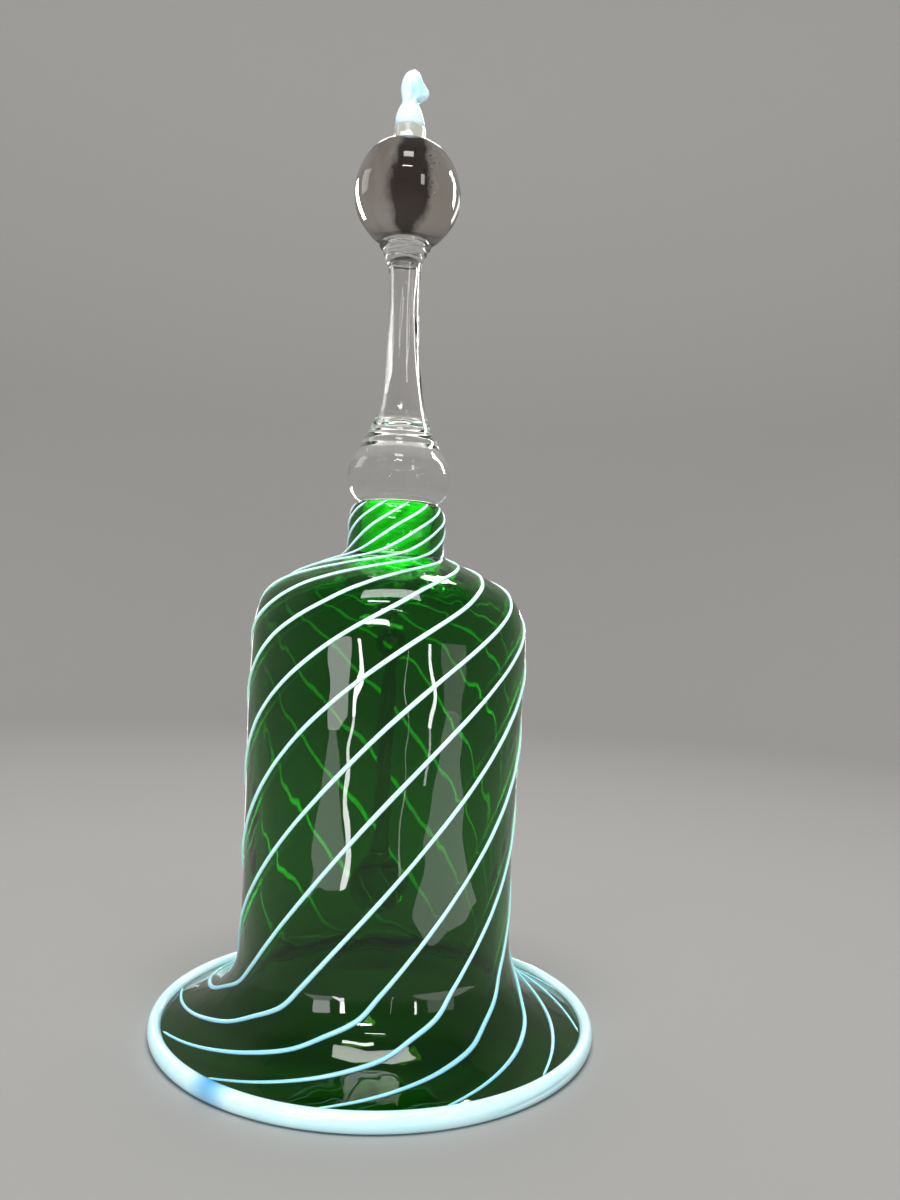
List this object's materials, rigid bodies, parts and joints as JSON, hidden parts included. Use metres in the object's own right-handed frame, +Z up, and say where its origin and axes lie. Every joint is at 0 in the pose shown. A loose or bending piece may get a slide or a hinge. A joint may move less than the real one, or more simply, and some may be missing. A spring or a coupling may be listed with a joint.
{
  "type": "glass hand bell",
  "caption": "Green glass bell with a wide brim, spiral opal threads and white rim roll, a clear glass handle with knops and an opal tip, and a hanging clapper.",
  "frame": {"origin": "on the bell's axis, at the underside of the rim roll, which it stands on", "axes": "+Z up along the bell's axis to the opal tip, +X to the right and -Y towards the viewer"},
  "size_m": [0.14, 0.14, 0.3105],
  "materials": {
    "green_glass": "blown, glossy, deep bottle green",
    "opal_glass": "glossy opal white with a faint blue cast",
    "clear_glass": "clear, glossy, with a few seeds",
    "tinted_glass": "solid, glossy, faint smoky tint",
    "plaster": "matt white plaster",
    "wire": "dull iron wire",
    "clapper_glass": "drawn, glossy, deep bottle green"
  },
  "bodies": {
    "bell": {"bell_brim": "green_glass", "bell_flare": "green_glass", "bell_body": "green_glass", "bell_shoulder": "green_glass", "bell_neck": "green_glass", "rim_band": "opal_glass", "white_thread_01": "opal_glass", "white_thread_02": "opal_glass", "white_thread_03": "opal_glass", "white_thread_04": "opal_glass", "white_thread_05": "opal_glass", "white_thread_06": "opal_glass", "white_thread_07": "opal_glass", "white_thread_08": "opal_glass", "white_thread_09": "opal_glass", "white_thread_10": "opal_glass", "white_thread_11": "opal_glass", "white_thread_12": "opal_glass", "finial_tip": "opal_glass", "lower_knop": "clear_glass", "stem_foot_ring": "clear_glass", "stem": "clear_glass", "collar_ring_lower": "clear_glass", "collar_ring_middle": "clear_glass", "collar_ring_upper": "clear_glass", "finial_collar": "clear_glass", "ball_knop": "tinted_glass", "plaster_plug": "plaster", "clapper_staple": "wire"},
    "link": {"clapper_link": "wire"},
    "clapper": {"clapper_rod": "clapper_glass", "clapper_bob": "clapper_glass"}
  },
  "joints": [
    {"name": "link_swing", "type": "hinge", "parent": "bell", "child": "link", "pos_m": [0, 0, 0.1323], "axis": [1, 0, 0], "range_deg": [-15, 15]},
    {"name": "clapper_swing", "type": "hinge", "parent": "link", "child": "clapper", "pos_m": [0, 0, 0.1232], "axis": [0, 1, 0], "range_deg": [-15, 15]}
  ]
}
